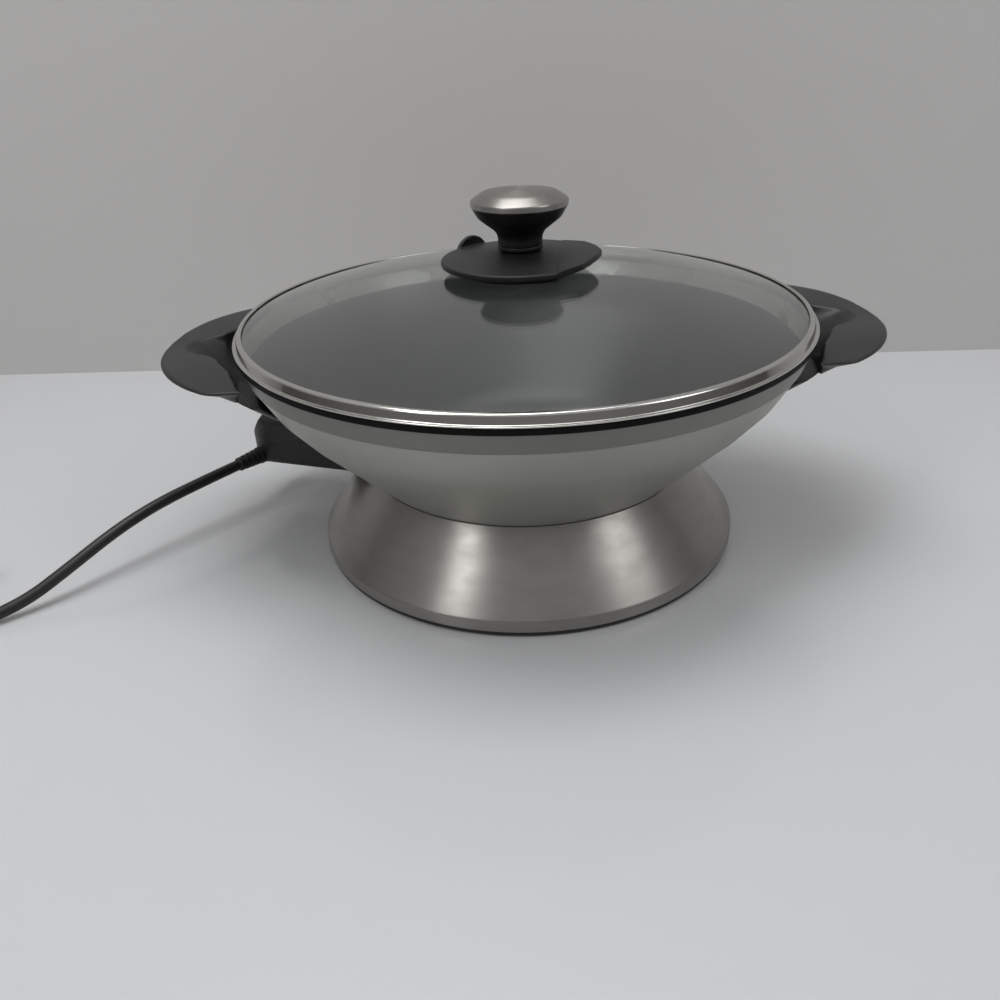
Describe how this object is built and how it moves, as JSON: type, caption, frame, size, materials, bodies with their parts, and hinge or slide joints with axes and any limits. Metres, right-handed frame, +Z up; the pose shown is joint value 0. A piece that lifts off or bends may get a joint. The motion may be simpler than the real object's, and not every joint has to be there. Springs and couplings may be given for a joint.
{
  "type": "electric wok",
  "caption": "Deep round electric wok on a flared steel base, with side handles, a domed glass lid that lifts off, a vented knob and a plug-in heat control with cord.",
  "frame": {"origin": "on the table under the middle of the pan", "axes": "+Z up, +X through the middle of the right-hand handle, so the handles lie along X; the heat control plugs in from 160 degrees counter-clockwise of +X"},
  "size_m": [0.6719, 0.357, 0.2242],
  "materials": {
    "cast_pan": "satin coated cast aluminium",
    "element_metal": "satin",
    "ceramic": "glazed ceramic",
    "black_moulding": "fine moulded texture",
    "brushed_steel": "brushed",
    "screw_steel": "plated",
    "rubber": "matte",
    "shield_metal": "bright",
    "handle_moulding": "satin phenolic",
    "knob_moulding": "satin",
    "lid_glass": "clear tempered glass",
    "control_grey": "satin",
    "dial_moulding": "satin",
    "shaft_metal": "machined",
    "lens": "clear tinted",
    "cord_sheath": "matte sheath",
    "tie": "matte",
    "blade_metal": "plated brass"
  },
  "bodies": {
    "root": {"pan_body": "cast_pan", "heating_element": "element_metal", "terminal_pins": "element_metal", "pin_insulators": "ceramic", "terminal_shroud": "black_moulding", "base_skirt": "brushed_steel", "base_frame": "black_moulding", "base_feet": "rubber", "foot_screws": "screw_steel", "heat_shield": "shield_metal", "shield_screws": "screw_steel", "locking_stud": "element_metal", "handle_right": "handle_moulding", "handle_left": "handle_moulding", "handle_screws": "screw_steel"},
    "lever": {"release_lever": "black_moulding"},
    "lid": {"lid_glass": "lid_glass", "lid_rim": "brushed_steel", "knob_base": "knob_moulding", "knob_ring": "brushed_steel", "knob_cap": "brushed_steel", "knob_screw": "screw_steel", "knob_washers": "rubber"},
    "collar": {"vent_collar": "handle_moulding", "vent_seal": "rubber"},
    "probe": {"probe_top_shell": "control_grey", "probe_bottom_shell": "black_moulding", "probe_nose": "black_moulding", "probe_rod": "element_metal", "probe_contacts": "element_metal", "thermostat": "black_moulding", "indicator_lens": "lens", "probe_screws": "screw_steel", "strain_relief": "cord_sheath", "cord": "cord_sheath", "cord_coil": "cord_sheath", "cord_tie": "tie", "plug_body": "cord_sheath", "plug_blades": "blade_metal"},
    "dial": {"dial": "dial_moulding", "dial_shaft": "shaft_metal"}
  },
  "joints": [
    {"name": "lid_lift", "type": "slide", "parent": "root", "child": "lid", "axis": [0, 0, 1], "range_m": [0, 0.12]},
    {"name": "vent_turn", "type": "hinge", "parent": "lid", "child": "collar", "pos_m": [0, 0, 0.184], "axis": [0, 0, 1], "range_deg": [0, 60]},
    {"name": "probe_pull", "type": "slide", "parent": "root", "child": "probe", "axis": [-0.9397, 0.342, 0], "range_m": [0, 0.08]},
    {"name": "dial_turn", "type": "hinge", "parent": "probe", "child": "dial", "pos_m": [-0.14941, 0.05438, 0.075], "axis": [0, 0, 1], "range_deg": [0, 270]},
    {"name": "lever_turn", "type": "hinge", "parent": "root", "child": "lever", "pos_m": [0, 0, 0.015], "axis": [0, 0, 1], "range_deg": [0, 60]}
  ]
}
